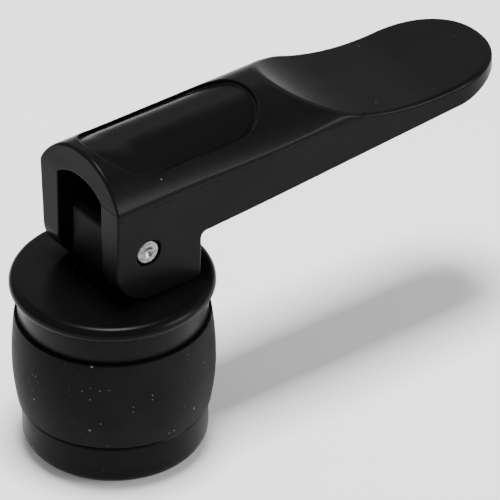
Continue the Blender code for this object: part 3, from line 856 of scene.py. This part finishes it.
def make_cover():
    """The round cover under the nut: a shallow raised ring, a middle pip and a soft edge."""
    top = COVER_THICKNESS
    outline = [
        (0.0, top),
        (COVER_RADIUS - 0.0002, top),
        (COVER_RADIUS, top - 0.0002),
        *arc((COVER_RADIUS - 0.0005, 0.0005), 0.0005, 0, -90, 5),
        (COVER_RADIUS - 0.0022, 0.0),
        (COVER_RADIUS - 0.0025, 0.0003),
        (0.0018, 0.0003),
        (0.0015, 0.0001),
        (0.0, 0.0001),
    ]
    cover = turned("cover_disc", outline, steps=96, closed=False)
    made = moulded_plastic("cover_fine_matt", COVER_BLACK, roughness=0.50, specular=0.3)
    cover.data.materials.append(made.material)
    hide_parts("base_cover")
    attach(cover, "base")


def sleeve_radius(z):
    """A barrel made of two parabolas that meet at the belly."""
    if z < SLEEVE_BELLY_Z:
        share = (SLEEVE_BELLY_Z - z) / (SLEEVE_BELLY_Z - SLEEVE_LOW)
        return SLEEVE_BELLY_RADIUS - (SLEEVE_BELLY_RADIUS - SLEEVE_LOW_RADIUS) * share**2
    share = (z - SLEEVE_BELLY_Z) / (SLEEVE_HIGH - SLEEVE_BELLY_Z)
    return SLEEVE_BELLY_RADIUS - (SLEEVE_BELLY_RADIUS - SLEEVE_HIGH_RADIUS) * share**2


def make_sleeve():
    """The squeezed rubber: a barrel whose ends roll in over the base and under the cap."""
    edge = 0.0005
    shoulder = 0.0003
    bore = SPIGOT_RADIUS + GAP
    steps = 36
    top = CAP_LOW - 0.00005
    wall = []
    for index in range(steps + 1):
        z = top - shoulder + (SLEEVE_LOW - top + shoulder + edge) * index / steps
        wall.append((sleeve_radius(z), z))
    high_radius, low_radius = wall[0][0], wall[-1][0]
    outline = [
        (bore, top),
        *arc((high_radius - shoulder, top - shoulder), shoulder, 90, 12, 4),
        *wall,
        *arc((low_radius - edge, SLEEVE_LOW + edge), edge, -12, -90, 6),
        (bore, SLEEVE_LOW),
    ]
    sleeve = turned("grip_sleeve", outline)
    matt = rubber("sleeve_matt_rubber", SLEEVE_BLACK, roughness=0.50, dust=0.36)
    sleeve.data.materials.append(matt)
    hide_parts("rubber_sleeve")
    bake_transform(sleeve)


def make_spring():
    """Round wire on a plain helix."""
    sides = 14
    per_turn = 40
    count = int(SPRING_TURNS * per_turn)
    low = SPRING_LOW + SPRING_WIRE_RADIUS
    rise = SPRING_HIGH - SPRING_LOW - 2 * SPRING_WIRE_RADIUS
    shape = bmesh.new()
    rings = []
    for index in range(count + 1):
        share = index / count
        angle = 2 * math.pi * SPRING_TURNS * share
        out = Vector((math.cos(angle), math.sin(angle), 0.0))
        middle = out * SPRING_MEAN_RADIUS + Vector((0.0, 0.0, low + rise * share))
        ring = []
        for side in range(sides):
            turn = 2 * math.pi * side / sides
            offset = out * math.cos(turn) + Vector((0.0, 0.0, math.sin(turn)))
            ring.append(shape.verts.new(middle + offset * SPRING_WIRE_RADIUS))
        rings.append(ring)
    for first, second in zip(rings, rings[1:]):
        for side in range(sides):
            after = (side + 1) % sides
            shape.faces.new((first[side], first[after], second[after], second[side]))
    shape.faces.new(rings[0])
    shape.faces.new(rings[-1])
    bmesh.ops.recalc_face_normals(shape, faces=shape.faces)
    spring = smooth(link_piece("wound_spring", finished_mesh("wound_spring", shape)))
    wire = drawn_wire("spring_drawn_wire", SPRING_STEEL, roughness=0.35)
    spring.data.materials.append(wire)
    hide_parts("return_spring")
    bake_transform(spring)


def paint_node(name, material):
    node = frame["nodes"][name]
    node.data.materials.clear()
    node.data.materials.append(material)


def paint_nodes():
    """Materials of the CAD nodes that stay as they are."""
    zinc = plated_steel("zinc_plated_steel", ZINC, roughness=0.38)
    plated = ("captive_nut", "pressure_washer", "spring_washer", "tension_stud", "stud_cross_pin")
    for name in plated:
        paint_node(name, zinc)
    paint_node("stud_end_ring", drawn_wire("ring_spring_steel", SPRING_STEEL, roughness=0.35))
    paint_node("pin_bush", bronze())
    paint_node("shank_o_ring", rubber("seal_smooth_rubber", SEAL_BLACK, roughness=0.45, dust=0.02))
    nylon = moulded_plastic("black_nylon", NYLON_BLACK, roughness=0.42, specular=0.08).material
    for name in ("cap_bush", "side_washer_left", "side_washer_right"):
        paint_node(name, nylon)


# ---------------------------------------------------------------- stage, light and camera

CAMERA_AZIMUTH = -36.18
CAMERA_ELEVATION = 35.08
CAMERA_ROLL = -0.92
CAMERA_DISTANCE = 4.0
CAMERA_LENS = 1499.2
AIM = Vector((0.023615, -0.012639, 0.040329))

# The world's brightness by the sine of the angle above the horizon: 0 is level, 1 is overhead
WORLD_LEVELS = (
    (0.0, 0.40),
    (0.22, 0.40),
    (0.42, 0.90),
    (0.57, 1.80),
    (0.67, 0.30),
    (0.77, 0.02),
    (1.0, 0.01),
)


def make_stage():
    """A pale floor with painted shade that darkens it away from the object, which keeps far
    reflections low.
    """
    shape = bmesh.new()
    bmesh.ops.create_circle(shape, cap_ends=True, segments=64, radius=3.0)
    floor = link_piece("floor", finished_mesh("floor", shape))
    made = Shader("floor_white_with_painted_shade", FLOOR_NEAR, roughness=0.9, specular=0.05)
    x, y, _ = made.axes()
    # Painted shade: the floor's colour goes from pale near the object to grey far from it
    painted_shade_share = made.span(made.distance(x, y), 0.11, 0.50)
    made.set_color(made.mix(painted_shade_share, FLOOR_NEAR, FLOOR_PAINTED_SHADE))
    floor.data.materials.append(made.material)


def soft_light(name, place, target, size, power):
    data = bpy.data.lights.new(name, "AREA")
    data.shape = "RECTANGLE"
    data.size, data.size_y = size
    data.energy = power
    light = bpy.data.objects.new(name, data)
    bpy.context.scene.collection.objects.link(light)
    light.location = place
    light.rotation_euler = (Vector(target) - Vector(place)).to_track_quat("-Z", "Y").to_euler()


def make_world():
    """A studio with its brightest band about 35 degrees up and a dark ceiling."""
    world = bpy.data.worlds.new("studio")
    bpy.context.scene.world = world
    world.use_nodes = True
    tree = world.node_tree
    place = tree.nodes.new("ShaderNodeTexCoord")
    split = tree.nodes.new("ShaderNodeSeparateXYZ")
    colors = tree.nodes.new("ShaderNodeValToRGB")
    tree.links.new(place.outputs["Generated"], split.inputs[0])
    tree.links.new(split.outputs["Z"], colors.inputs[0])
    tree.links.new(colors.outputs[0], tree.nodes["Background"].inputs["Color"])
    ramp_points = colors.color_ramp.elements
    while len(ramp_points) < len(WORLD_LEVELS):
        ramp_points.new(0.5)
    for point, (height, level) in zip(ramp_points, WORLD_LEVELS):
        point.position = height
        point.color = (level, level, level, 1.0)


def make_camera():
    angles = (CAMERA_AZIMUTH, CAMERA_ELEVATION, CAMERA_ROLL)
    azimuth, elevation, roll = (math.radians(angle) for angle in angles)
    back = Vector(
        (
            math.sin(azimuth) * math.cos(elevation),
            -math.cos(azimuth) * math.cos(elevation),
            math.sin(elevation),
        )
    )
    right = Vector((math.cos(azimuth), math.sin(azimuth), 0.0))
    up = back.cross(right)
    turned_right = right * math.cos(roll) + up * math.sin(roll)
    turned_up = up * math.cos(roll) - right * math.sin(roll)
    data = bpy.data.cameras.new("camera")
    data.lens = CAMERA_LENS
    data.sensor_width = 36.0
    data.clip_start = 0.1
    data.clip_end = 30.0
    camera = bpy.data.objects.new("camera", data)
    bpy.context.scene.collection.objects.link(camera)
    axes = Matrix((turned_right, turned_up, back)).transposed().to_4x4()
    camera.matrix_world = Matrix.Translation(AIM + back * CAMERA_DISTANCE) @ axes
    bpy.context.scene.camera = camera


make_camera()
make_stage()
make_world()
soft_light("overhead", (0.0, 0.0, 1.3), (0.0, 0.0, 0.0), size=(0.36, 0.36), power=34.0)
soft_light("right_card", (1.1, -1.5, 0.42), (0.0, 0.0, 0.05), size=(0.9, 0.7), power=34.0)

satin = moulded_plastic("cap_satin_black", CAP_BLACK, roughness=0.29, specular=0.056).material
make_lever()
make_stem()
make_pin()
make_cap(satin)
make_base(satin)
make_cover()
make_sleeve()
make_spring()
paint_nodes()
